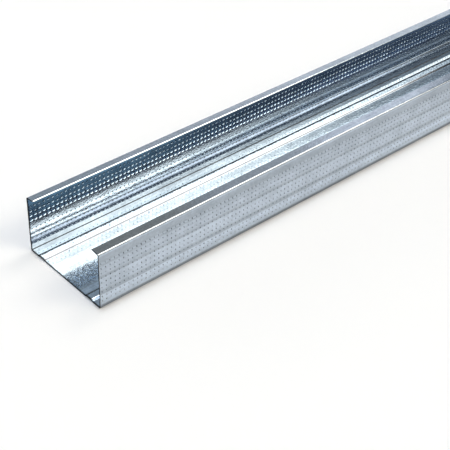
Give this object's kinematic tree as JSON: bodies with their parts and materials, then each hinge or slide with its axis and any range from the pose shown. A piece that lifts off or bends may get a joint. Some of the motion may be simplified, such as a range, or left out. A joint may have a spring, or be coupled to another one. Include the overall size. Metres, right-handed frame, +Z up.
{
  "type": "steel stud",
  "caption": "Galvanised cold-rolled steel C stud with inward lips, ribbed web and dimpled, creased flanges, cut to a stock length.",
  "frame": {"origin": "on the floor under the middle of the stud, which lies on the back of its web", "axes": "+X along the stud, +Y across the web, +Z up the flanges, out of the open side"},
  "size_m": [2.6, 0.0888, 0.0508],
  "materials": {
    "galvanised_steel": "hot-dip galvanised, fine spangle"
  },
  "bodies": {
    "root": {"steel_stud": "galvanised_steel"}
  },
  "joints": []
}
